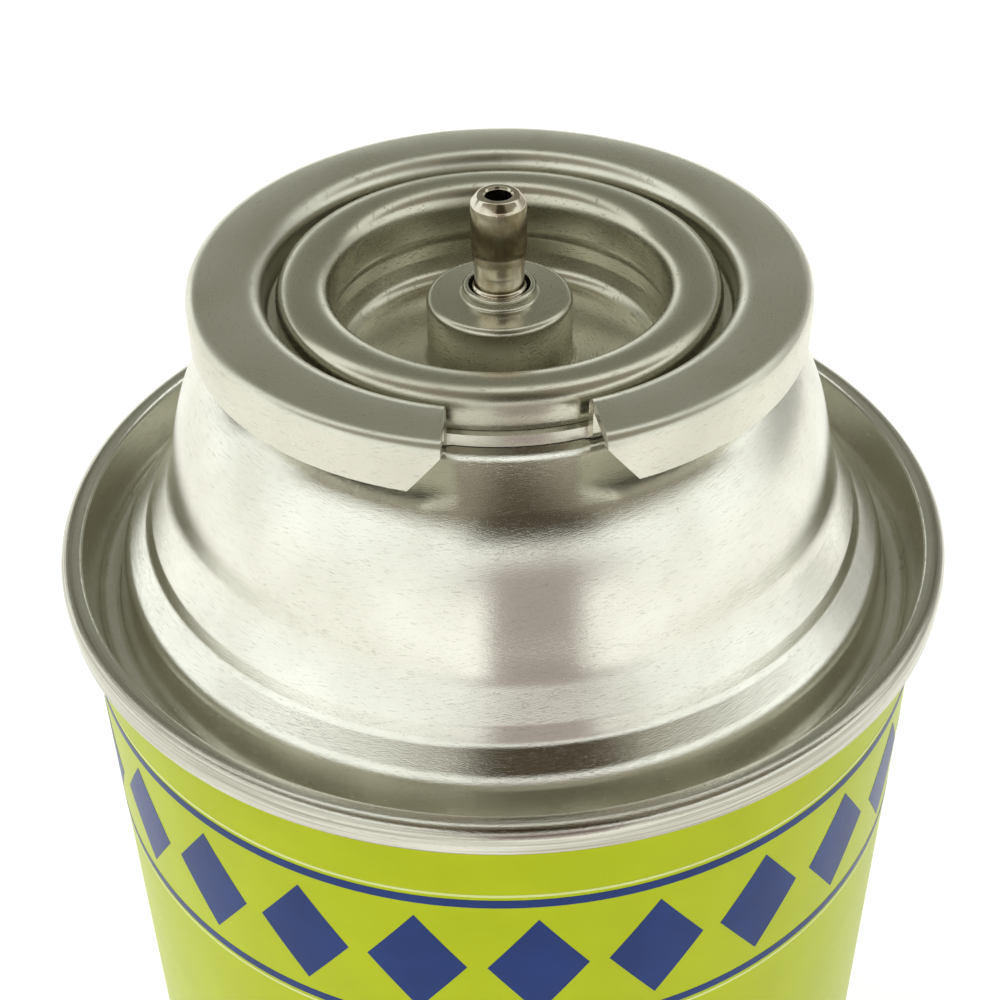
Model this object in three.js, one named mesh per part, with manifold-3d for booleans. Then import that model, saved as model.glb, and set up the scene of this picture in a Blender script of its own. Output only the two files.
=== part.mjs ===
// Butane fuel cartridge with a nozzle valve, standing upright.
// Millimetres, +Z up. The origin is on the can's axis, at its foot.
// The locating notch of the collar faces -Y.
import * as THREE from "three";
import { mergeVertices } from "three/addons/utils/BufferGeometryUtils.js";
import Module from "manifold-3d";

const wasm = await Module();
wasm.setup();

// Vessel: printed wall, double seams, domed base
const bodyRadius = 33;
const bodyHeight = 160; // foot to the lower edge of the top seam
const seamOverhang = 1.4; // seam outside the wall
const topSeamHeight = 2.4;
const baseSeamHeight = 3;
const seamThickness = 1.7;
const seamRound = 0.6;
const baseRecess = 4;
const baseDomeRise = 4.6;
const baseRimWidth = 1.5; // between the base's dome and the wall of its seam

// Stepped dome: each step as an inset from the wall and a height above the top seam's lower edge
const gutterInset = 1.1;
const gutterWidth = 1.4;
const gutterDepth = 2.5;
const ledgeInset = 3.4;
const ledgeHeight = 1.2;
const ledgeRound = 0.9;
const creaseInset = 5.2; // hollow between the two ledges
const creaseHeight = 3.2;
const upperLedgeInset = 5.6;
const upperLedgeHeight = 4.2;
const upperLedgeTopInset = 6.55;
const upperLedgeTopHeight = 6;
const bulgeInset = 7.45;
const bulgeFootHeight = 6.2;
const bulgeLean = 0.8; // how far the shoulder leans in over the lower half of its height
const bulgeTurn = 1.7; // and by where it turns in to the neck

// Valve cup: one sheet from the crimped curl to the lip around the stem
const cupSheet = 0.4;
const cupRadius = 16.1;
const cupThroatRadius = 12.07;
const cupTop = 23.45;
const cupCrestDrop = 0.3; // the crest is this much lower at the throat
const cupFloor = 16;
const cupCurlRound = 1.6;
const cupThroatRound = 1;
const cupFloorRound = 1.1;
const clinchDepth = 0.48; // the throat is pressed out below the mouth's curl to hold the cup
const clinchHeight = 18.35;
const clinchBand = 1.1;
const clinchSlope = 0.9;
const pedestalRadius = 5.32;
const pedestalTop = 21.45;
const pedestalRound = 0.5;
const lipHeight = 0.85;

// Locating collar: a pressed ring with a rim turned down and a seat clamped under the cup
const collarSheet = 0.8;
const collarTop = 23.77;
const collarWidth = 5.45;
const collarEdgeRound = 1;
const collarRimDepth = 3.7;
const collarSeatTop = 20.75;
const collarSeatWidth = 1.3;
const notchWidth = 9.4;
const notchTaper = 0.11; // how much each side opens for each millimetre outwards
const notchFlare = 2.2; // how far each cut edge of the rim leans out at the foot of the rim

// Valve stem
const stemRadius = 2;
const stemTop = 29.4;
const stemTopRound = 0.5;
const stemBoreRadius = 0.93;
const stemBoreChamfer = 0.15;
const stemWaistDepth = 0.2;
const stemWaistLength = 1.5;
const shoulderClearance = 0.42; // around the stem's shoulder, in its chamber
const stemShoulderHeight = 1.5;
const stemTailRadius = 1.1;
const stemTailLength = 3;
const stemTravel = 1.8;
const orificeRadius = 0.3;

// Inside the valve
const gasketHeight = 1;
const cupGasketHeight = 0.35;
const cupGasketWidth = 1.3;
const housingWall = 1.2;
const tailClearance = 1.8; // room left under the stem's tail when it is pressed home
const housingFloor = 2;
const housingTailLength = 4.5;
const housingTailWall = 0.9;
const housingPassage = 0.8;
const springWire = 0.6;
const springTurns = 5.5;
const tubeRadius = 1.5;
const tubeWall = 0.6;
const tubeDrop = 8;
const tubeBend = 7;
const tubeReach = 24;

// Clearances
const slip = 0.2; // stem in the lip and in the gasket
const gap = 0.1; // pieces clamped face to face
const pocketGap = 0.3; // vessel around the valve
const cut = 3; // how far a cutting tool runs past the material

// Fineness of the round surfaces
const vesselFacets = 48;
const sheetFacets = 36;
const valveFacets = 20;
const tubeFacets = 8;
const tubeSteps = 14;
const springStepsPerTurn = 12;
const arcStep = Math.PI / 4;

// Line through corners given as [radius, height, fillet], with each fillet drawn as an arc
function outline(corners) {
  const points = corners.map(([radius, height]) => new THREE.Vector2(radius, height));
  return corners.flatMap(([, , fillet], i) => {
    if (!fillet) {
      return [points[i]];
    }
    const toBefore = points[i - 1].clone().sub(points[i]);
    const toAfter = points[i + 1].clone().sub(points[i]);
    const room = 0.48 * Math.min(toBefore.length(), toAfter.length());
    toBefore.normalize();
    toAfter.normalize();
    const half = Math.acos(toBefore.dot(toAfter)) / 2;
    const reach = Math.min(fillet / Math.tan(half), room);
    const radius = reach * Math.tan(half);
    const middle = toBefore.clone().add(toAfter).normalize();
    const centre = points[i].clone().addScaledVector(middle, radius / Math.sin(half));
    const spoke = points[i].clone().addScaledVector(toBefore, reach).sub(centre);
    const sweep = Math.sign(toAfter.cross(toBefore)) * (Math.PI - 2 * half);
    const steps = Math.ceil(Math.abs(sweep) / arcStep);
    return Array.from({ length: steps + 1 }, (_, k) =>
      spoke.clone().rotateAround(new THREE.Vector2(), (sweep * k) / steps).add(centre));
  });
}

// The same line moved sideways to its left by a distance, with mitred corners
function offset(points, distance) {
  const last = points.length - 1;
  return points.map((point, i) => {
    const arriving = point.clone().sub(points[Math.max(i - 1, 0)]);
    const leaving = points[Math.min(i + 1, last)].clone().sub(point);
    const before = (i > 0 ? arriving : leaving).clone().normalize();
    const after = (i < last ? leaving : arriving).clone().normalize();
    const mitre = before.clone().add(after).normalize();
    const left = new THREE.Vector2(-mitre.y, mitre.x);
    return point.clone().addScaledVector(left, distance / mitre.dot(before));
  });
}

// Closed mesh that keeps only positions, with its flat triangles at the axis removed
function weld(geometry) {
  const loose = geometry.clone();
  loose.deleteAttribute("normal");
  loose.deleteAttribute("uv");
  const welded = mergeVertices(loose, 1e-4);
  const corners = Array.from(welded.index.array);
  const kept = [];
  for (let i = 0; i < corners.length; i += 3) {
    const [a, b, c] = corners.slice(i, i + 3);
    if (a !== b && b !== c && c !== a) {
      kept.push(a, b, c);
    }
  }
  welded.setIndex(kept);
  return welded;
}

// Solid turned about the Z axis from an outline of radii and heights
function revolve(profile, facets) {
  const lathe = new THREE.LatheGeometry(profile, facets);
  lathe.rotateX(Math.PI / 2);
  return weld(lathe);
}

// Turned solid whose outline closes on itself
function ring(profile, facets) {
  return revolve([...profile, profile[0]], facets);
}

// Turned sheet of even thickness, given by the line of its outer face
function pressedSheet(face, thickness, facets) {
  return ring([...face, ...offset(face, thickness).reverse()], facets);
}

// Solid of one section carried along a route
function sweep(section, route, steps) {
  const curveSegments = tubeFacets / 2;
  return weld(new THREE.ExtrudeGeometry(section, { extrudePath: route, steps, curveSegments }));
}

function disc(radius) {
  return new THREE.Shape().absarc(0, 0, radius, 0, 2 * Math.PI);
}

function toSolid(geometry) {
  return new wasm.Manifold(new wasm.Mesh({
    numProp: 3,
    vertProperties: new Float32Array(geometry.attributes.position.array),
    triVerts: new Uint32Array(geometry.index.array),
  }));
}

// Geometry less one or more cutting tools
function subtract(geometry, ...tools) {
  const rest = tools.reduce((body, tool) => body.subtract(toSolid(tool)), toSolid(geometry));
  const mesh = rest.getMesh();
  const result = new THREE.BufferGeometry();
  result.setAttribute("position", new THREE.BufferAttribute(mesh.vertProperties, 3));
  result.setIndex(new THREE.BufferAttribute(mesh.triVerts, 1));
  return result;
}

function piece(name, geometry, look) {
  geometry.computeVertexNormals();
  const mesh = new THREE.Mesh(geometry, new THREE.MeshStandardMaterial({ ...look, flatShading: true }));
  mesh.name = name;
  return mesh;
}

// Where the pieces meet, all measured from the top seam's lower edge
const collarWallRadius = cupRadius + collarSheet;
const collarRadius = collarWallRadius + collarWidth;
const shoulderHeight = collarSeatTop - collarSheet - gap;
const neckRadius = cupRadius - cupSheet - pocketGap;
const neckTop = cupTop - cupSheet - cupGasketHeight - 3 * gap;
const mouthRadius = cupThroatRadius + cupSheet + pocketGap;
const mouthRound = (neckRadius - mouthRadius) * 0.42; // leaves the curl a narrow flat crest
const lipRadius = stemRadius + slip;
const gasketTop = pedestalTop - cupSheet - gap;
const gasketFoot = gasketTop - gasketHeight;
const housingTop = gasketFoot - gap;
const housingRadius = pedestalRadius - cupSheet - pocketGap;
const chamberRadius = housingRadius - housingWall;
const stemShoulderRadius = chamberRadius - shoulderClearance;
const stemShoulderTop = gasketFoot - pocketGap;
const stemShoulderFoot = stemShoulderTop - stemShoulderHeight;
const chamberFloor = stemShoulderFoot - stemTailLength - stemTravel - tailClearance;
const housingFoot = chamberFloor - housingFloor;
const socketRadius = tubeRadius + slip;
const housingTailRadius = socketRadius + housingTailWall;
const housingTailFoot = housingFoot - housingTailLength;

// Route of the vapour tube: down from its socket, then bent towards the notch
function tubeRoute(reach) {
  const bendTop = housingTailFoot - tubeDrop + tubeBend;
  const low = bendTop - tubeBend;
  const route = new THREE.CurvePath();
  const socketEnd = new THREE.Vector3(0, 0, housingFoot - pocketGap);
  const bendStart = new THREE.Vector3(0, 0, bendTop);
  const bendCorner = new THREE.Vector3(0, 0, low);
  const bendEnd = new THREE.Vector3(0, -tubeBend, low);
  route.add(new THREE.LineCurve3(socketEnd, bendStart));
  route.add(new THREE.QuadraticBezierCurve3(bendStart, bendCorner, bendEnd));
  route.add(new THREE.LineCurve3(bendEnd, new THREE.Vector3(0, -reach, low)));
  return route;
}

// Sealed vessel with its contents. The pocket in its mouth takes the valve and the vapour tube.
function sealedCan() {
  const seamRadius = bodyRadius + seamOverhang;
  const seamInside = seamRadius - seamThickness;
  const gutterFloor = bodyHeight - gutterDepth;
  const bulgeRadius = bodyRadius - bulgeInset;
  const bulgeFoot = bodyHeight + bulgeFootHeight;
  const baseDome = new THREE.QuadraticBezierCurve(
    new THREE.Vector2(0, baseRecess + baseDomeRise),
    new THREE.Vector2(seamInside / 2, baseRecess + baseDomeRise),
    new THREE.Vector2(seamInside - baseRimWidth - seamRound, baseRecess),
  );
  const wall = outline([
    [seamInside - seamRound, baseRecess],
    [seamInside, 0, seamRound],
    [seamRadius, 0, seamRound],
    [seamRadius, baseSeamHeight],
    [bodyRadius, baseSeamHeight + gap],
    [bodyRadius, bodyHeight],
    [seamRadius - gap, bodyHeight],
    [seamRadius, bodyHeight + topSeamHeight, seamThickness / 2],
    [seamInside, bodyHeight + topSeamHeight, seamRound],
    [bodyRadius - gutterInset, gutterFloor, seamRound],
    [bodyRadius - gutterInset - gutterWidth, gutterFloor],
    [bodyRadius - ledgeInset, bodyHeight + ledgeHeight, ledgeRound],
    [bodyRadius - creaseInset, bodyHeight + creaseHeight],
    [bodyRadius - upperLedgeInset, bodyHeight + upperLedgeHeight],
    [bodyRadius - upperLedgeTopInset, bodyHeight + upperLedgeTopHeight],
    [bulgeRadius, bulgeFoot],
  ]);
  const shoulder = bodyHeight + shoulderHeight;
  const bulge = new THREE.CubicBezierCurve(
    new THREE.Vector2(bulgeRadius, bulgeFoot),
    new THREE.Vector2(bulgeRadius - bulgeLean, THREE.MathUtils.lerp(bulgeFoot, shoulder, 0.44)),
    new THREE.Vector2(bulgeRadius - bulgeTurn, THREE.MathUtils.lerp(bulgeFoot, shoulder, 0.89)),
    new THREE.Vector2(collarWallRadius, shoulder),
  );
  const clinchTop = bodyHeight + clinchHeight + clinchBand / 2;
  const pocketRadius = cupThroatRadius + clinchDepth + cupSheet + pocketGap;
  const pocketFloor = bodyHeight + cupFloor - cupSheet - pocketGap;
  const mouth = outline([
    [neckRadius, shoulder],
    [neckRadius, bodyHeight + neckTop, mouthRound],
    [mouthRadius, bodyHeight + neckTop, mouthRound],
    [mouthRadius, clinchTop + clinchSlope],
    [pocketRadius, clinchTop],
    [pocketRadius, pocketFloor],
    [housingRadius + pocketGap, pocketFloor],
    [housingRadius + pocketGap, bodyHeight + housingFoot - pocketGap],
    [housingTailRadius + pocketGap, bodyHeight + housingFoot - pocketGap],
    [housingTailRadius + pocketGap, bodyHeight + housingTailFoot - pocketGap],
    [0, bodyHeight + housingTailFoot - pocketGap],
  ]);
  const profile = [...baseDome.getPoints(5), ...wall, ...bulge.getPoints(8).slice(1), ...mouth];
  const tunnel = sweep(disc(tubeRadius + pocketGap), tubeRoute(tubeReach + pocketGap), tubeSteps);
  tunnel.translate(0, 0, bodyHeight);
  const body = revolve(profile, vesselFacets);
  return piece("sealed_can", subtract(body, tunnel), { color: 0xacb718, roughness: 0.35, metalness: 0.4 });
}

function valveCup() {
  const clinchTop = clinchHeight + clinchBand / 2;
  const face = outline([
    [cupRadius, collarSeatTop + gap],
    [cupRadius, cupTop - gap, cupCurlRound],
    [cupRadius - cupCurlRound, cupTop],
    [cupThroatRadius, cupTop - cupCrestDrop, cupThroatRound],
    [cupThroatRadius, clinchTop + clinchSlope],
    [cupThroatRadius + clinchDepth, clinchTop],
    [cupThroatRadius + clinchDepth, clinchTop - clinchBand],
    [cupThroatRadius, cupFloor, cupFloorRound],
    [pedestalRadius, cupFloor, pedestalRound],
    [pedestalRadius, pedestalTop, pedestalRound],
    [lipRadius + cupSheet, pedestalTop],
    [lipRadius + cupSheet, pedestalTop + lipHeight],
  ]);
  const sheet = pressedSheet(face, cupSheet, sheetFacets);
  return piece("valve_cup", sheet, { color: 0x9d9f92, roughness: 0.3, metalness: 1 });
}

// Plan of the notch: it narrows towards the axis, and stops at the cup
function notchTool() {
  const inner = notchWidth / 2;
  const start = collarWallRadius + gap / 2;
  const end = collarRadius + cut;
  const outer = inner + notchTaper * (end - start);
  const plan = new THREE.Shape([
    new THREE.Vector2(-inner, -start),
    new THREE.Vector2(-outer, -end),
    new THREE.Vector2(outer, -end),
    new THREE.Vector2(inner, -start),
  ]);
  const depth = collarTop - collarSeatTop + collarSheet + 2 * cut;
  const tool = new THREE.ExtrudeGeometry(plan, { depth, bevelEnabled: false });
  tool.translate(0, 0, collarSeatTop - collarSheet - cut);
  return weld(tool);
}

// Flare of the rim's cut edges, as a front view pushed out through the rim only
function flareTool() {
  const half = notchWidth / 2 + notchTaper * (collarWidth - collarSheet) - gap;
  const rimTop = collarTop - collarSheet;
  const rimFoot = collarTop - collarRimDepth;
  const slope = notchFlare / (rimTop - rimFoot);
  const low = half + slope * (rimTop - rimFoot + cut);
  const front = new THREE.Shape([
    new THREE.Vector2(-half, rimTop),
    new THREE.Vector2(-low, rimFoot - cut),
    new THREE.Vector2(low, rimFoot - cut),
    new THREE.Vector2(half, rimTop),
  ]);
  const depth = collarSheet + 2 * cut;
  const tool = new THREE.ExtrudeGeometry(front, { depth, bevelEnabled: false });
  tool.rotateX(Math.PI / 2);
  tool.translate(0, -(collarRadius - collarSheet - cut), 0);
  return weld(tool);
}

function notchedCollar() {
  const face = outline([
    [collarRadius, collarTop - collarRimDepth],
    [collarRadius, collarTop, collarEdgeRound],
    [collarWallRadius, collarTop, collarEdgeRound],
    [collarWallRadius, collarSeatTop],
    [collarWallRadius - collarSeatWidth, collarSeatTop],
  ]);
  const sheet = pressedSheet(face, collarSheet, sheetFacets);
  const notched = subtract(sheet, notchTool(), flareTool());
  return piece("notched_collar", notched, { color: 0x87887a, roughness: 0.35, metalness: 1 });
}

function valveStem() {
  const waist = stemRadius - stemWaistDepth;
  const waistFoot = pedestalTop + lipHeight;
  const waistTop = waistFoot + stemWaistLength;
  const orificeHeight = (gasketTop + gasketFoot) / 2;
  const profile = outline([
    [0, stemShoulderFoot - stemTailLength],
    [stemTailRadius, stemShoulderFoot - stemTailLength],
    [stemTailRadius, stemShoulderFoot],
    [stemShoulderRadius, stemShoulderFoot],
    [stemShoulderRadius, stemShoulderTop],
    [stemRadius, stemShoulderTop],
    [stemRadius, waistFoot - stemWaistDepth],
    [waist, waistFoot],
    [waist, waistTop],
    [stemRadius, waistTop + stemWaistDepth],
    [stemRadius, stemTop, stemTopRound],
    [stemBoreRadius + stemBoreChamfer, stemTop],
    [stemBoreRadius, stemTop - stemBoreChamfer],
    [stemBoreRadius, orificeHeight - orificeRadius],
    [0, orificeHeight - orificeRadius],
  ]);
  const orifice = new THREE.CylinderGeometry(orificeRadius, orificeRadius, 2 * cut, 8);
  orifice.rotateZ(Math.PI / 2);
  orifice.translate(cut, 0, orificeHeight);
  const turned = subtract(revolve(profile, valveFacets), weld(orifice));
  return piece("valve_stem", turned, { color: 0xb9b4a2, roughness: 0.15, metalness: 1 });
}

function stemGasket() {
  const profile = outline([
    [stemRadius + slip / 2, gasketFoot],
    [housingRadius, gasketFoot],
    [housingRadius, gasketTop],
    [stemRadius + slip / 2, gasketTop],
  ]);
  return piece("stem_gasket", ring(profile, valveFacets), { color: 0x202020, roughness: 0.8, metalness: 0 });
}

function cupGasket() {
  const foot = neckTop + gap;
  const outside = neckRadius - mouthRound / 2;
  const profile = outline([
    [outside - cupGasketWidth, foot],
    [outside, foot],
    [outside, foot + cupGasketHeight],
    [outside - cupGasketWidth, foot + cupGasketHeight],
  ]);
  return piece("cup_gasket", ring(profile, sheetFacets), { color: 0x2a2a2a, roughness: 0.8, metalness: 0 });
}

function valveHousing() {
  const profile = outline([
    [socketRadius, housingTailFoot],
    [housingTailRadius, housingTailFoot],
    [housingTailRadius, housingFoot],
    [housingRadius, housingFoot],
    [housingRadius, housingTop],
    [chamberRadius, housingTop],
    [chamberRadius, chamberFloor],
    [housingPassage, chamberFloor],
    [housingPassage, housingFoot],
    [socketRadius, housingFoot],
  ]);
  const housing = ring(profile, valveFacets);
  return piece("valve_housing", housing, { color: 0xe8e6dc, roughness: 0.6, metalness: 0 });
}

// Compression spring around the stem's tail, from the chamber's floor to the stem's shoulder
function returnSpring() {
  const foot = chamberFloor + slip + springWire / 2;
  const head = stemShoulderFoot - slip - springWire / 2;
  const coil = stemTailRadius + slip + springWire;
  const steps = springTurns * springStepsPerTurn;
  const turns = Array.from({ length: steps + 1 }, (_, i) => {
    const angle = (2 * Math.PI * i) / springStepsPerTurn;
    const height = THREE.MathUtils.lerp(foot, head, i / steps);
    return new THREE.Vector3(coil * Math.cos(angle), coil * Math.sin(angle), height);
  });
  const helix = sweep(disc(springWire / 2), new THREE.CatmullRomCurve3(turns), steps);
  return piece("return_spring", helix, { color: 0xc8c8c4, roughness: 0.3, metalness: 1 });
}

function vapourTube() {
  const section = disc(tubeRadius);
  section.holes.push(disc(tubeRadius - tubeWall));
  const tube = sweep(section, tubeRoute(tubeReach), tubeSteps);
  return piece("vapour_tube", tube, { color: 0xdedede, roughness: 0.5, metalness: 0 });
}

// The collar and the valve stand on the vessel at the top seam
const topFittings = new THREE.Group();
topFittings.position.z = bodyHeight;
topFittings.add(valveCup(), cupGasket(), notchedCollar(), valveStem(), stemGasket());
topFittings.add(returnSpring(), valveHousing(), vapourTube());

const cartridge = new THREE.Group();
cartridge.add(sealedCan(), topFittings);

export default cartridge;
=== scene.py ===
"""Butane fuel cartridge with a nozzle valve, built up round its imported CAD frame."""
import math
import bmesh
import bpy
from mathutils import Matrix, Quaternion, Vector
from mathutils.geometry import interpolate_bezier


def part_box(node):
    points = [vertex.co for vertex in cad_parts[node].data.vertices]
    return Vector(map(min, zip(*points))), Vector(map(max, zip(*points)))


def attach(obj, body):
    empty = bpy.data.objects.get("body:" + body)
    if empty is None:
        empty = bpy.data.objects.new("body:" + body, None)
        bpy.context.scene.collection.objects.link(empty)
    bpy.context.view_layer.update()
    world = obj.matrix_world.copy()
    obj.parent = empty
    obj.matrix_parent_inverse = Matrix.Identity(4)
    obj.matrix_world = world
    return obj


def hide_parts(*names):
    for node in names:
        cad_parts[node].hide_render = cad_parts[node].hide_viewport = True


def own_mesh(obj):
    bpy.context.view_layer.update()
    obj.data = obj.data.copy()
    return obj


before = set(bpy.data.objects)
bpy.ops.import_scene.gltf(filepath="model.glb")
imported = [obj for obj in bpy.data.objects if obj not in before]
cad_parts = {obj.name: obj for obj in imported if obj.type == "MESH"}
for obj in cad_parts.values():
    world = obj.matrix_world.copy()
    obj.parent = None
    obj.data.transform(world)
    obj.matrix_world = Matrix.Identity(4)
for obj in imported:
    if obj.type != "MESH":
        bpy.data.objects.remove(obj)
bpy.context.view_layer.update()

scene = bpy.context.scene
scene.view_settings.view_transform = "Standard"

# Camera: close to the top of the can and a little left of the notch, looking down on the valve.
# It is turned and shifted by the small amounts that the photograph's framing needs.
seam_centre = Vector((0, 0, 0.160))
camera_distance = 0.13914
camera_height_angle = 0.67792
camera_side_angle = math.radians(3.75)
camera_roll = -0.01279
away = Vector((
    -math.cos(camera_height_angle) * math.sin(camera_side_angle),
    -math.cos(camera_height_angle) * math.cos(camera_side_angle),
    math.sin(camera_height_angle),
))
camera = bpy.data.objects.new("camera", bpy.data.cameras.new("camera"))
scene.collection.objects.link(camera)
camera.location = seam_centre + away * camera_distance
camera.rotation_mode = "QUATERNION"
camera.rotation_quaternion = (-away).to_track_quat("-Z", "Y") @ Quaternion((0, 0, 1), camera_roll)
camera.data.sensor_width = 36
camera.data.lens = 62.68
camera.data.shift_x = -0.0025
camera.data.shift_y = 0.0239
camera.data.clip_start = 0.01
scene.camera = camera


# Studio: a white room with a warm grey ceiling in front, a dark gap over the camera, and grey panels
# behind and to the right, all of which bright tin reflects. An even lamp lights the matt white paper.
def linear(code):
    """Linear colour of an sRGB hex code."""
    shares = [int(code[i:i + 2], 16) / 255 for i in (0, 2, 4)]
    return tuple(s / 12.92 if s <= 0.04045 else ((s + 0.055) / 1.055) ** 2.4 for s in shares) + (1,)


def node(owner, kind, links=None, **settings):
    """Adds a node with its settings, and with its sockets given values or linked to other sockets."""
    added = owner.node_tree.nodes.new("ShaderNode" + kind)
    for name, value in settings.items():
        setattr(added, name, value)
    for socket, source in (links or {}).items():
        if isinstance(source, bpy.types.NodeSocket):
            owner.node_tree.links.new(source, added.inputs[socket])
        else:
            added.inputs[socket].default_value = source
    return added


def new_material(name):
    """A material with an empty node tree."""
    material = bpy.data.materials.new(name)
    material.use_nodes = True
    material.node_tree.nodes.clear()
    return material


def set_out(name, sheet, material):
    """Makes a bmesh an object at the origin with a material."""
    mesh = bpy.data.meshes.new(name)
    sheet.to_mesh(mesh)
    sheet.free()
    mesh.materials.append(material)
    placed = bpy.data.objects.new(name, mesh)
    scene.collection.objects.link(placed)
    return placed


def toward(side_angle, height_angle=0):
    """Direction by its angle from the front, positive to the right, and its angle above the horizon."""
    side, height = math.radians(side_angle), math.radians(height_angle)
    level = Vector((math.sin(side), -math.cos(side), 0)) * math.cos(height)
    return level + Vector((0, 0, math.sin(height)))


up = Vector((0, 0, 1))
ceiling_grey = (0.300, 0.278, 0.215, 1)
camera_dark = (0.062, 0.050, 0.030, 1)
gap_grey = (0.42, 0.37, 0.35, 1)
side_grey = (0.56, 0.56, 0.53, 1)
back_grey = (0.245, 0.245, 0.198, 1)
panel_white = (1.12, 1.15, 1.10, 1)
# each panel: its colour, its softness, and its edges as a direction and how far along it they begin
panels = [
    (side_grey, 0.10, [(toward(125), 0.86), (up, -0.75), (-up, -0.45)]),
    (back_grey, 0.06, [(toward(180), 0.42), (up, 0.30), (-up, -0.90)]),
    (gap_grey, 0.14, [(toward(8), 0.93), (up, -0.75), (-up, -0.66)]),
    (ceiling_grey, 0.035, [
        (up - toward(-42) * 1.02, 0),
        (up - toward(50) * 0.76, 0),
        (toward(0) + up * 0.1, 0),
    ]),
    (camera_dark, 0.035, [(toward(74), 0), (toward(-56), 0), (up, 0.53)]),
]
studio = bpy.data.worlds.new("studio")
studio.use_nodes = True
studio.node_tree.nodes.clear()
scene.world = studio
direction = node(studio, "TexCoord").outputs["Generated"]
light = panel_white
for colour, softness, edges in panels:
    cover = 1.0
    for edge, start in edges:
        along = node(studio, "VectorMath", {0: direction, 1: edge}, operation="DOT_PRODUCT")
        inside = node(
            studio,
            "MapRange",
            {"Value": along.outputs["Value"], "From Min": start - softness, "From Max": start + softness},
            interpolation_type="SMOOTHSTEP",
        )
        cover = node(studio, "Math", {0: cover, 1: inside.outputs[0]}, operation="MULTIPLY").outputs[0]
    light = node(studio, "Mix", {0: cover, 6: light, 7: colour}, data_type="RGBA").outputs[2]
background = node(studio, "Background", {"Color": light})
paper = node(studio, "Background", {"Color": (1, 1, 1, 1), "Strength": 1.05})
seen = node(studio, "LightPath").outputs["Is Camera Ray"]
shown = node(studio, "MixShader", {0: seen, 1: background.outputs[0], 2: paper.outputs[0]})
node(studio, "OutputWorld", {"Surface": shown.outputs[0]})

overhead = bpy.data.objects.new("overhead", bpy.data.lights.new("overhead", "SUN"))
scene.collection.objects.link(overhead)
overhead.data.angle = math.radians(55)
overhead.data.energy = 2.1
overhead.rotation_euler = (math.radians(-6), math.radians(-8), 0)
overhead.visible_glossy = False

paper_half_width = 3
floor_paper = new_material("matt_paper")
floor_face = node(floor_paper, "BsdfPrincipled", {"Base Color": linear("f4f4f2"), "Roughness": 0.9})
node(floor_paper, "OutputMaterial", {"Surface": floor_face.outputs[0]})
floor_sheet = bmesh.new()
bmesh.ops.create_grid(floor_sheet, x_segments=1, y_segments=1, size=paper_half_width)
floor = set_out("floor", floor_sheet, floor_paper)

# a narrow grey screen in front, seen only as the stripe down the bright tin
screen_width, screen_height = 0.15, 0.24
screen_centre = (0.032, -0.30, 0.125)
on_edge = Quaternion((1, 0, 0), math.pi / 2).to_matrix()
screen_felt = new_material("grey_felt")
screen_face = node(screen_felt, "Emission", {"Color": gap_grey, "Strength": 1})
node(screen_felt, "OutputMaterial", {"Surface": screen_face.outputs[0]})
screen_sheet = bmesh.new()
bmesh.ops.create_grid(screen_sheet, x_segments=1, y_segments=1, size=0.5)
bmesh.ops.rotate(screen_sheet, verts=screen_sheet.verts[:], cent=(0, 0, 0), matrix=on_edge)
bmesh.ops.scale(screen_sheet, verts=screen_sheet.verts[:], vec=(screen_width, 1, screen_height))
bmesh.ops.translate(screen_sheet, verts=screen_sheet.verts[:], vec=screen_centre)
screen = set_out("grey_screen", screen_sheet, screen_felt)
screen.visible_camera = False
screen.visible_diffuse = False
screen.visible_shadow = False


# Can wall: tinplate sheet, printed flat with lime ink under gloss lacquer, rolled and welded at the back.
# Its two ends go into the double seams. A bare strip each side of the weld is left unprinted.
mm = 0.001
body_radius = 33.0
wall_foot, wall_head = 2.9, 160.0
wall_sheet = 0.25
wall_turn_steps = 192
bare_half_width = 2.2
weld_half_width = 0.4


def draw_section(sheet, corners, steps=5):
    """Adds the line through corners of (radius, height, rounding) in mm, in the XZ plane."""
    points = [sheet.verts.new((corner[0] * mm, 0, corner[1] * mm)) for corner in corners]
    for before, after in zip(points, points[1:]):
        sheet.edges.new((before, after))
    for point, corner in zip(points, corners):
        if len(corner) < 3:
            continue
        arms = [edge.other_vert(point).co - point.co for edge in point.link_edges]
        half = arms[0].angle(arms[1]) / 2
        reach = min(corner[2] * mm / math.tan(half), 0.48 * min(arm.length for arm in arms))
        bmesh.ops.bevel(
            sheet, geom=[point], offset=reach, offset_type="OFFSET", segments=steps,
            profile=0.5, affect="VERTICES", material=-1,
        )


def turn(sheet, steps):
    """Spins everything drawn so far once round the can's axis, with its faces pointing outwards."""
    bmesh.ops.spin(
        sheet, geom=sheet.verts[:] + sheet.edges[:], cent=(0, 0, 0), axis=(0, 0, 1),
        angle=math.tau, steps=steps, use_merge=True,
    )
    bmesh.ops.remove_doubles(sheet, verts=sheet.verts[:], dist=1e-7)
    bmesh.ops.recalc_face_normals(sheet, faces=sheet.faces[:])


def finish_piece(name, sheet, material, body="vessel", crease=40):
    """Makes a bmesh a smooth-shaded piece that moves with a body."""
    piece = set_out(name, sheet, material)
    piece.data.shade_smooth()
    piece.data.set_sharp_from_angle(angle=math.radians(crease))
    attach(piece, body)
    return piece


def thicken(sheet, thickness):
    """Gives a sheet its thickness, inwards from the face that was drawn."""
    bmesh.ops.solidify(sheet, geom=sheet.faces[:], thickness=thickness * mm)


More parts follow.
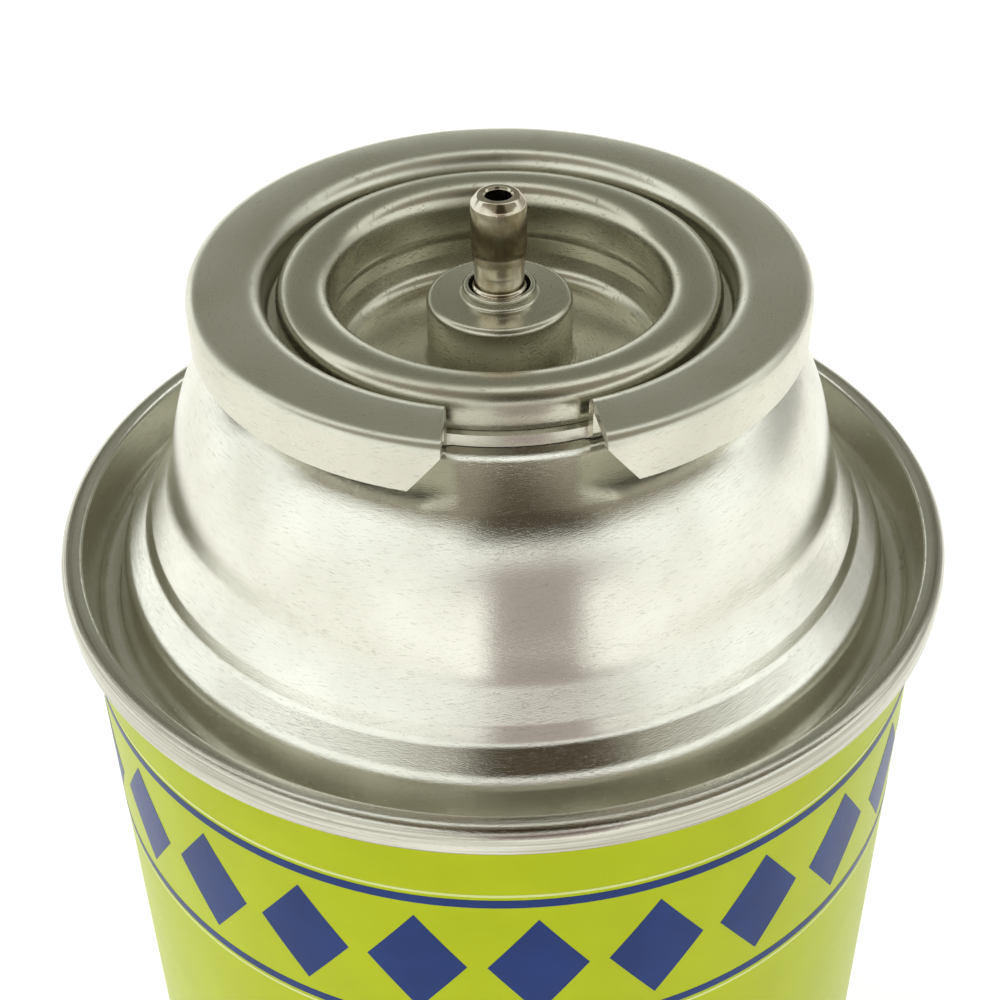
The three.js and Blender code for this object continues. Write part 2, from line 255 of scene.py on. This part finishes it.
def lithographed_lacquer(name, ink, deep_ink, weld=False):
    """Ink printed on tinplate under gloss lacquer: a strong flat colour with a slightly wavy shine."""
    material = new_material(name)
    place = node(material, "TexCoord").outputs["Object"]
    # the lacquer waves about 5 mm across, and the print's grain is drawn coarser than real so that it shows
    wave = node(material, "TexNoise", {"Vector": place, "Scale": 1 / 5 / mm, "Detail": 2})
    grain = node(material, "TexNoise", {"Vector": place, "Scale": 1 / 0.25 / mm, "Detail": 1})
    tint = node(material, "MapRange", {"Value": wave.outputs[0], "From Min": 0.3, "From Max": 0.7})
    colour = node(
        material, "Mix", {0: tint.outputs[0], 6: linear(ink), 7: linear(deep_ink)}, data_type="RGBA"
    ).outputs[2]
    metal = 0.0
    if weld:
        # bare tin each side of the weld at the back, and the weld's own dull bead
        edge_blur = 0.1 * mm
        axes = node(material, "SeparateXYZ", {0: place})
        behind = node(material, "Math", {0: axes.outputs["Y"], 1: 0}, operation="GREATER_THAN")
        aside = node(material, "Math", {0: axes.outputs["X"]}, operation="ABSOLUTE").outputs[0]
        bare = node(material, "MapRange", {
            "Value": aside,
            "From Min": bare_half_width * mm,
            "From Max": bare_half_width * mm - edge_blur,
        })
        bead = node(material, "MapRange", {
            "Value": aside,
            "From Min": weld_half_width * mm,
            "From Max": weld_half_width * mm - edge_blur,
        })
        strip = node(
            material, "Math", {0: behind.outputs[0], 1: bare.outputs[0]}, operation="MULTIPLY"
        )
        tin = node(
            material, "Mix", {0: bead.outputs[0], 6: linear("c4c4bc"), 7: linear("8a8880")},
            data_type="RGBA",
        )
        colour = node(
            material, "Mix", {0: strip.outputs[0], 6: colour, 7: tin.outputs[2]}, data_type="RGBA"
        ).outputs[2]
        metal = strip.outputs[0]
    wavy = node(material, "Bump", {"Strength": 0.35, "Distance": 0.00004, "Height": wave.outputs[0]})
    normal = node(
        material,
        "Bump",
        {"Strength": 0.3, "Distance": 0.000002, "Height": grain.outputs[0], "Normal": wavy.outputs[0]},
    )
    shine = node(material, "MapRange", {"Value": grain.outputs[0], "To Min": 0.26, "To Max": 0.36})
    face = node(material, "BsdfPrincipled", {
        "Base Color": colour,
        "Metallic": metal,
        "Roughness": shine.outputs[0],
        "IOR": 1.5,
        "Specular IOR Level": 0.13,
        "Normal": normal.outputs[0],
    })
    node(material, "OutputMaterial", {"Surface": face.outputs[0]})
    return material


sheet = bmesh.new()
draw_section(sheet, [(body_radius, wall_foot), (body_radius, wall_head)])
turn(sheet, wall_turn_steps)
thicken(sheet, wall_sheet)
lime_lacquer = lithographed_lacquer(
    "lime_lithographed_lacquer", "b6c307", "b0bd04", weld=True
)
can_wall = finish_piece("can_wall", sheet, lime_lacquer)
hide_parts("sealed_can")


# Printed ornament: navy ink bands with pale keylines, and rows of plain lozenges between them.
# The ink lies on the wall, drawn a few hundredths of a millimetre thick so that it shows.
ink_height = 0.02
ink_thickness = ink_height * 0.9
strip_allowance = 1.05
strip_turn_steps = 8
navy_lacquer = lithographed_lacquer("navy_lithographed_lacquer", "1a3678", "162f6b")
pale_lacquer = lithographed_lacquer("pale_lithographed_lacquer", "dbe39a", "d3dc8e")


def face_outwards(sheet):
    """Turns every face of an open strip away from the can's axis."""
    for face in sheet.faces:
        face.normal_update()
        middle = face.calc_center_median()
        if face.normal.dot(Vector((middle.x, middle.y, 0))) < 0:
            face.normal_flip()


def ink_bands(name, heights, material, lift=1):
    """Bands round the wall up to the bare strip, each between two heights in mm."""
    sheet = bmesh.new()
    radius = body_radius + ink_height * lift
    bare = math.asin(bare_half_width / radius)
    edge_of_bare = Vector((-bare_half_width, radius * math.cos(bare), 0))
    for low, high in heights:
        start = sheet.verts.new((edge_of_bare + low * up) * mm)
        end = sheet.verts.new((edge_of_bare + high * up) * mm)
        sheet.edges.new((start, end))
    bmesh.ops.spin(
        sheet, geom=sheet.verts[:] + sheet.edges[:], cent=(0, 0, 0), axis=(0, 0, 1),
        angle=math.tau - 2 * bare, steps=wall_turn_steps,
    )
    face_outwards(sheet)
    thicken(sheet, ink_thickness)
    return finish_piece(name, sheet, material)


def ink_lozenges(name, middle, height, width, count, material, lift=1):
    """A row of lozenges round the wall, cut from a strip of it, with none on the bare strip."""
    sheet = bmesh.new()
    radius = (body_radius + ink_height * lift) * mm
    half = width / 2 / body_radius * strip_allowance
    start = Vector((radius * math.sin(-half), -radius * math.cos(half), (middle - height / 2) * mm))
    low = sheet.verts.new(start)
    high = sheet.verts.new(start + height * mm * up)
    edge = sheet.edges.new((low, high))
    bmesh.ops.spin(
        sheet, geom=[low, high, edge], cent=(0, 0, 0), axis=(0, 0, 1), angle=half * 2,
        steps=strip_turn_steps,
    )
    centre = Vector((0, -radius, middle * mm))
    for right in (-1, 1):
        for top in (-1, 1):
            corner = centre + Vector((right * width / 2 * mm, 0, 0))
            lean = Vector((right / width, 0, top / height)).normalized()
            bmesh.ops.bisect_plane(
                sheet, geom=sheet.verts[:] + sheet.edges[:] + sheet.faces[:], plane_co=corner,
                plane_no=lean, clear_outer=True,
            )
    pitch = math.tau / count
    to_back = Quaternion((0, 0, 1), math.pi + pitch).to_matrix()
    bmesh.ops.rotate(sheet, verts=sheet.verts[:], cent=(0, 0, 0), matrix=to_back)
    bmesh.ops.spin(
        sheet, geom=sheet.verts[:] + sheet.edges[:] + sheet.faces[:], cent=(0, 0, 0), axis=(0, 0, 1),
        angle=pitch * (count - 2), steps=count - 2, use_duplicate=True,
    )
    face_outwards(sheet)
    thicken(sheet, ink_thickness)
    return finish_piece(name, sheet, material)


navy_heights = [(153.2, 154.0), (139.3, 140.1), (40.0, 82.0), (8.5, 12.0)]
pale_heights = [(154.3, 154.55), (138.75, 139.0), (82.6, 83.0), (39.0, 39.4)]
ink_bands("navy_bands", navy_heights, navy_lacquer)
ink_bands("pale_lines", pale_heights, pale_lacquer)
ink_lozenges("navy_lozenges", 146.65, 10.4, 7.2, 24, navy_lacquer)
ink_lozenges("pale_lozenges", 61, 30, 12.5, 14, pale_lacquer, lift=2)


# Dome: tinplate drawn in a press to a gutter, two ledges and a tall shoulder, and double-seamed on
# the wall. Dies and other cans rub it, which leaves fine short scratches in the bright tin.
def scratched_tinplate(
    name, tin, shade, dull, scratch_depth, grain_depth, scratch_rate=1.0, lean=1.3, rolled=None
):
    """Tinned steel as pressed: a grey mirror blurred by short scratches, die lines and a fine pebble.
    Outside the radius rolled, in mm, the seaming rolls have left darker streaks round the can."""
    material = new_material(name)
    place = node(material, "TexCoord").outputs["Object"]
    axes = node(material, "SeparateXYZ", {0: place})
    flat = node(material, "CombineXYZ", {0: axes.outputs["X"], 1: axes.outputs["Y"]})
    radius = node(material, "VectorMath", {0: flat.outputs[0]}, operation="LENGTH").outputs["Value"]
    leaning = node(material, "Math", {0: radius, 1: -lean}, operation="MULTIPLY").outputs[0]
    across = node(material, "Math", {0: axes.outputs["Z"], 1: leaning}, operation="ADD").outputs[0]
    # scratches are about 0.1 mm wide and 1 mm long, lying round the can and tilted a little each way
    layers = []
    for tilt, width, length in ((0.3, 0.08, 0.8), (-0.3, 0.1, 1.2)):
        slide = node(material, "Math", {0: across, 1: 1 / width / mm}, operation="MULTIPLY").outputs[0]
        along_x, along_y = (
            node(material, "Math", {0: axes.outputs[side], 1: 1 / length / mm}, operation="MULTIPLY")
            for side in ("X", "Y")
        )
        skew = node(
            material, "Math", {0: axes.outputs["X"], 1: tilt / width / mm}, operation="MULTIPLY"
        )
        skewed = node(material, "Math", {0: slide, 1: skew.outputs[0]}, operation="ADD")
        hair = node(
            material, "CombineXYZ",
            {0: along_x.outputs[0], 1: along_y.outputs[0], 2: skewed.outputs[0]},
        )
        layers.append(node(material, "TexNoise", {
            "Vector": hair.outputs[0], "Scale": scratch_rate, "Detail": 2, "Roughness": 0.6,
        }).outputs[0])
    hairs = node(material, "Math", {0: layers[0], 1: layers[1]}, operation="ADD").outputs[0]
    # pebble 0.15 mm across from the rolled sheet, and cloudy handling marks about 8 mm across
    pebble = node(material, "TexNoise", {"Vector": place, "Scale": 1 / 0.15 / mm, "Detail": 2}).outputs[0]
    cloud = node(material, "TexNoise", {"Vector": place, "Scale": 1 / 8 / mm, "Detail": 4}).outputs[0]
    marks = node(material, "MapRange", {"Value": hairs, "From Min": 1.12, "From Max": 1.34})
    wear = node(material, "MapRange", {"Value": cloud, "From Min": 0.35, "From Max": 0.7})
    dirt = node(material, "Math", {0: marks.outputs[0], 1: 0.8}, operation="MULTIPLY")
    tone = node(material, "MapRange", {"Value": cloud, "From Min": 0.3, "From Max": 0.75, "To Max": 0.5})
    mixed = node(material, "Math", {0: dirt.outputs[0], 1: tone.outputs[0]}, operation="ADD")
    colour = node(
        material, "Mix", {0: mixed.outputs[0], 6: linear(tin), 7: linear(shade)}, data_type="RGBA"
    )
    if rolled:
        # streaks are about 0.2 mm wide and 12 mm long
        long_x, long_y = (
            node(material, "Math", {0: axes.outputs[side], 1: 1 / 12 / mm}, operation="MULTIPLY")
            for side in ("X", "Y")
        )
        high = node(material, "Math", {0: across, 1: 1 / 0.2 / mm}, operation="MULTIPLY")
        round_can = node(
            material, "CombineXYZ", {0: long_x.outputs[0], 1: long_y.outputs[0], 2: high.outputs[0]}
        )
        streak = node(material, "TexNoise", {"Vector": round_can.outputs[0], "Scale": 1, "Detail": 3})
        streaked = node(material, "MapRange", {
            "Value": streak.outputs[0], "From Min": 0.35, "From Max": 0.62, "To Min": 1.0, "To Max": 0.35,
        })
        outside = node(material, "MapRange", {
            "Value": radius, "From Min": (rolled - 0.4) * mm, "From Max": (rolled + 0.1) * mm,
        })
        burnished = node(
            material, "Math", {0: streaked.outputs[0], 1: outside.outputs[0]}, operation="MULTIPLY"
        )
        colour = node(
            material, "Mix", {0: burnished.outputs[0], 6: colour.outputs[2], 7: linear("a9a598")},
            data_type="RGBA",
        )
    rough = node(material, "MapRange", {
        "Value": wear.outputs[0], "To Min": dull * 0.85, "To Max": dull * 1.25,
    })
    rougher = node(material, "Math", {0: marks.outputs[0], 1: 0.12}, operation="MULTIPLY")
    roughness = node(material, "Math", {0: rough.outputs[0], 1: rougher.outputs[0]}, operation="ADD")
    pebbled = node(material, "Bump", {"Strength": 1, "Distance": grain_depth * mm, "Height": pebble})
    scored = node(material, "Bump", {
        "Strength": 1, "Distance": scratch_depth * mm, "Height": hairs, "Normal": pebbled.outputs[0],
    })
    face = node(material, "BsdfPrincipled", {
        "Base Color": colour.outputs[2],
        "Metallic": 1,
        "Roughness": roughness.outputs[0],
        "Normal": scored.outputs[0],
    })
    node(material, "OutputMaterial", {"Surface": face.outputs[0]})
    return material


rolled_radius = 33.6
dome_tinplate = scratched_tinplate(
    "drawn_tinplate", "f0efe6", "c3c1b4", 0.17, 0.0065, 0.0026, rolled=rolled_radius
)
dome_turn_steps = 240
end_sheet = 0.3
seam_radius = 34.4
shoulder_curve = ((25.1, 168.8), (24.52, 172.35), (23.65, 175.83), (21.11, 177.94))


def bend(start, first_pull, second_pull, end, steps=14):
    """Points of a smooth bend in a section, as (radius, height) in mm."""
    pulls = [Vector((*point, 0)) for point in (start, first_pull, second_pull, end)]
    points = interpolate_bezier(*pulls, steps)
    return [(point.x, point.y) for point in points]


sheet = bmesh.new()
draw_section(sheet, [
    (33.15, 159.9),
    (34.3, 160.0, 0.35),
    (seam_radius, 162.4, 0.8),
    (32.75, 162.4, 0.65),
    (31.9, 157.5, 0.7),
    (30.5, 157.5, 0.5),
    (29.55, 161.7, 2.0),
    (27.6, 163.35, 1.2),
    (27.15, 164.6, 1.2),
    (25.4, 167.3, 4.0),
    *bend(*shoulder_curve, steps=24),
    (17.9, 179.92, 1.5),
    (15.4, 179.92, 0.4),
    (15.4, 182.4, 1.1),
    (12.8, 182.4, 1.1),
    (12.8, 180.6),
])
turn(sheet, dome_turn_steps)
thicken(sheet, end_sheet)
dome = finish_piece("dome", sheet, dome_tinplate, crease=60)
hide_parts("sealed_can")


# Base: tinplate end pressed to a shallow inward dome with one stiffening step, double-seamed like the
# top. The can stands on the rolled edge of this seam, which handling has dulled.
base_tinplate = scratched_tinplate(
    "seamed_base_tinplate", "d6d5cb", "aeaca0", 0.26, 0.006, 0.003, rolled=rolled_radius
)
sheet = bmesh.new()
draw_section(sheet, [
    (33.15, 3.1),
    (34.3, 3.0, 0.35),
    (seam_radius, 0, 0.8),
    (32.7, 0, 0.6),
    (32.2, 4.0, 0.7),
    (30.4, 4.0, 0.8),
    (28.4, 5.2, 1.5),
    (20.0, 6.4, 2.0),
    (18.6, 7.1, 2.0),
    (9.0, 8.3, 6.0),
    (0, 8.6),
])
turn(sheet, wall_turn_steps)
thicken(sheet, end_sheet)
base = finish_piece("base_end", sheet, base_tinplate, crease=60)
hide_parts("sealed_can")


# Locating collar: a tinplate ring pressed with a turned-down rim, and with a notch cut at the front.
# Its rim's cut edges lean outwards. It is clamped between the dome and the valve cup.
collar_tinplate = scratched_tinplate(
    "satin_pressed_tinplate", "dedccf", "c2c0b2", 0.29, 0.0015, 0.002, scratch_rate=0.8, lean=0.9
)
collar_sheet = 0.8
collar_radius = 22.35
collar_wall_radius = 16.9
collar_top = 183.77
notch_half_width = 4.7
notch_taper = 0.11
notch_floor = 180.76
rim_cut_half_width = 5.2
rim_cut_top = 182.97
rim_cut_slant = 2.2 / 2.9
rim_inside = 20
sheet = bmesh.new()
draw_section(sheet, [
    (collar_radius, 180.07),
    (collar_radius, collar_top, 0.95),
    (collar_wall_radius, collar_top, 1.7),
    (collar_wall_radius, 180.75, 0.3),
    (15.6, 180.75),
])
turn(sheet, wall_turn_steps)
for side in (-1, 1):
    notch_corner = Vector((side * notch_half_width, -collar_wall_radius, 0)) * mm
    notch_normal = Vector((1, side * notch_taper, 0)).normalized()
    rim_corner = Vector((side * rim_cut_half_width, -collar_radius, rim_cut_top)) * mm
    rim_normal = Vector((1, 0, side * rim_cut_slant)).normalized()
    for corner, normal in ((notch_corner, notch_normal), (rim_corner, rim_normal)):
        bmesh.ops.bisect_plane(
            sheet, geom=sheet.verts[:] + sheet.edges[:] + sheet.faces[:], plane_co=corner,
            plane_no=normal, dist=1e-7,
        )
gone = []
for face in sheet.faces:
    x, y, z = face.calc_center_median() / mm
    notch_line = notch_half_width + notch_taper * (-y - collar_wall_radius)
    in_notch = abs(x) < notch_line and z > notch_floor
    rim_line = rim_cut_half_width + (rim_cut_top - z) * rim_cut_slant
    in_rim = abs(x) < rim_line and y < -rim_inside and z < rim_cut_top
    if y < 0 and (in_notch or in_rim):
        gone.append(face)
bmesh.ops.delete(sheet, geom=gone, context="FACES")
thicken(sheet, collar_sheet)
collar = finish_piece("locating_collar", sheet, collar_tinplate, crease=60)
burr = collar.modifiers.new("cut_edge", "BEVEL")
burr.width = 0.08 * mm
burr.segments = 2
burr.limit_method = "ANGLE"
burr.angle_limit = math.radians(50)
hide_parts("notched_collar")


# Valve cup: tinplate pressed to a 1 inch mounting cup, with its curl over the mouth of the dome.
# Its throat is spread under the mouth to lock it, and the pedestal's lip guides the stem.
# The cup's tin colours are set darker than the collar's. This is a painted shade for the dark inside the
# cup's deep recess.
cup_tinplate_painted_dark = scratched_tinplate(
    "satin_cup_tinplate", "d2d0c0", "aaa897", 0.25, 0.0012, 0.0018, scratch_rate=0.9, lean=0.8
)
cup_sheet = 0.4
throat_radius = 12.07
pedestal_radius = 5.32
lip_bore_radius = 2.2
sheet = bmesh.new()
draw_section(sheet, [
    (16.1, 180.78),
    *bend((16.1, 181.7), (16.1, 183.0), (15.4, 183.45), (14.2, 183.45)),
    *bend((14.0, 183.45), (13.0, 183.4), (throat_radius, 183.1), (throat_radius, 181.5)),
    (throat_radius, 179.8, 0.8),
    (12.6, 178.9, 0.6),
    (12.6, 177.7, 0.7),
    (throat_radius, 176.0, 1.1),
    (pedestal_radius, 176.0, 0.5),
    (pedestal_radius, 181.45, 0.55),
    (2.75, 181.45, 0.25),
    (2.6, 182.28, 0.3),
    (2.26, 182.3, 0.12),
    (lip_bore_radius, 181.2),
], steps=6)
turn(sheet, wall_turn_steps)
thicken(sheet, cup_sheet)
cup = finish_piece("valve_cup_sheet", sheet, cup_tinplate_painted_dark, crease=70)
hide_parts("valve_cup")


# Valve stem: brass rod turned, drilled and nickel-plated, a warm mirror with faint turning lines.
# It stands free in the pedestal's lip, and the appliance presses it in to let the gas out.
def drawn_metal(name, polish, worn):
    """Metal with a polish along its lines: a sharp mirror, lines 0.15 mm apart and duller wear."""
    material = new_material(name)
    place = node(material, "TexCoord").outputs["Object"]
    axes = node(material, "SeparateXYZ", {0: place})
    rings = node(material, "CombineXYZ", {2: axes.outputs["Z"]})
    lines = node(material, "TexNoise", {"Vector": rings.outputs[0], "Scale": 1 / 0.15 / mm, "Detail": 1})
    cloud = node(material, "TexNoise", {"Vector": place, "Scale": 1 / 1.2 / mm, "Detail": 3})
    wear = node(material, "MapRange", {"Value": cloud.outputs[0], "From Min": 0.4, "From Max": 0.7})
    colour = node(
        material, "Mix", {0: wear.outputs[0], 6: linear(polish), 7: linear(worn)}, data_type="RGBA"
    )
    rough = node(material, "MapRange", {"Value": cloud.outputs[0], "To Min": 0.07, "To Max": 0.2})
    normal = node(material, "Bump", {"Strength": 1, "Distance": 0.0000008, "Height": lines.outputs[0]})
    face = node(material, "BsdfPrincipled", {
        "Base Color": colour.outputs[2],
        "Metallic": 1,
        "Roughness": rough.outputs[0],
        "Normal": normal.outputs[0],
    })
    node(material, "OutputMaterial", {"Surface": face.outputs[0]})
    return material


nickel_plate = drawn_metal("nickel_plated_brass", "d9d3c4", "b5a78f")
stem_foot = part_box("valve_stem")[0].z / mm
shoulder_foot = stem_foot + 3
shoulder_head = shoulder_foot + 1.5
tail_radius = 1.1
shoulder_radius = 3.0
nozzle_radius = 2.0
waist_radius = 1.8
bore_radius = 0.93
bore_end = 180.2
stem_head = 189.4
stem_turn_steps = 96
sheet = bmesh.new()
draw_section(sheet, [
    (0, stem_foot),
    (tail_radius, stem_foot, 0.1),
    (tail_radius, shoulder_foot),
    (shoulder_radius, shoulder_foot, 0.1),
    (shoulder_radius, shoulder_head, 0.1),
    (nozzle_radius, shoulder_head),
    (nozzle_radius, 182.1, 0.2),
    (waist_radius, 182.3, 0.2),
    (waist_radius, 183.6, 3.0),
    (nozzle_radius, 185.2, 5.0),
    (nozzle_radius, 188.8, 0.35),
    (1.5, stem_head, 0.25),
    (1.08, stem_head, 0.06),
    (bore_radius, 189.25, 0.06),
    (bore_radius, bore_end),
    (0, bore_end),
])
turn(sheet, stem_turn_steps)
stem = finish_piece("nozzle_stem", sheet, nickel_plate, body="stem")
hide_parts("valve_stem")


# Return spring: drawn stainless wire coiled under the stem's shoulder, standing on the housing's floor.
# It pushes the stem back up. In the valve it shortens as the stem goes in, but here it is drawn at one
# length.
wire_radius = 0.3
coil_radius = 1.9
coil_foot, coil_head = 172.051, 177.649
coil_turns = 5.5
coil_steps = 110
coil_pitch = (coil_head - coil_foot) / coil_steps
sheet = bmesh.new()
bmesh.ops.create_circle(sheet, cap_ends=False, segments=12, radius=wire_radius * mm)
bmesh.ops.rotate(sheet, verts=sheet.verts[:], cent=(0, 0, 0), matrix=on_edge)
bmesh.ops.translate(sheet, verts=sheet.verts[:], vec=(coil_radius * mm, 0, coil_foot * mm))
bmesh.ops.spin(
    sheet, geom=sheet.verts[:] + sheet.edges[:], cent=(0, 0, 0), axis=(0, 0, 1),
    dvec=(0, 0, coil_pitch * mm), angle=math.tau * coil_turns, steps=coil_steps,
)
bmesh.ops.holes_fill(sheet, edges=[edge for edge in sheet.edges if edge.is_boundary])
bmesh.ops.recalc_face_normals(sheet, faces=sheet.faces[:])
drawn_wire = drawn_metal("drawn_stainless_wire", "cfcfca", "b4b4ae")
coil = finish_piece("coil_spring", sheet, drawn_wire)
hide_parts("return_spring")
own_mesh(coil)


# Inside the valve: rubber washers moulded in nitrile, a housing moulded in acetal and an extruded
# polythene tube. These are plain shapes, so the CAD ones stay and only get their finish.
def moulded(name, colour, shade, rough, grain_mm, clear=0.0):
    """A moulded or extruded part: an even soft sheen with a fine mould grain."""
    material = new_material(name)
    place = node(material, "TexCoord").outputs["Object"]
    grain = node(material, "TexNoise", {"Vector": place, "Scale": 1 / grain_mm / mm, "Detail": 3})
    tint = node(
        material, "Mix", {0: grain.outputs[0], 6: linear(colour), 7: linear(shade)}, data_type="RGBA"
    )
    sheen = node(
        material, "MapRange", {"Value": grain.outputs[0], "To Min": rough - 0.08, "To Max": rough + 0.08}
    )
    normal = node(material, "Bump", {"Strength": 0.5, "Distance": 0.00001, "Height": grain.outputs[0]})
    face = node(material, "BsdfPrincipled", {
        "Base Color": tint.outputs[2],
        "Roughness": sheen.outputs[0],
        "IOR": 1.5,
        "Subsurface Weight": clear,
        "Subsurface Scale": 0.001,
        "Normal": normal.outputs[0],
    })
    node(material, "OutputMaterial", {"Surface": face.outputs[0]})
    return material


nitrile_rubber = moulded("moulded_nitrile_rubber", "262625", "1b1b1b", 0.7, 0.3)
acetal = moulded("moulded_acetal", "efece2", "e4e0d4", 0.42, 0.5)
polythene = moulded("natural_polythene", "e9e8e2", "dddcd4", 0.35, 0.8, clear=0.3)
for name, material in (
    ("cup_gasket", nitrile_rubber),
    ("stem_gasket", nitrile_rubber),
    ("valve_housing", acetal),
    ("vapour_tube", polythene),
):
    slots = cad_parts[name].data.materials
    slots.clear()
    slots.append(material)
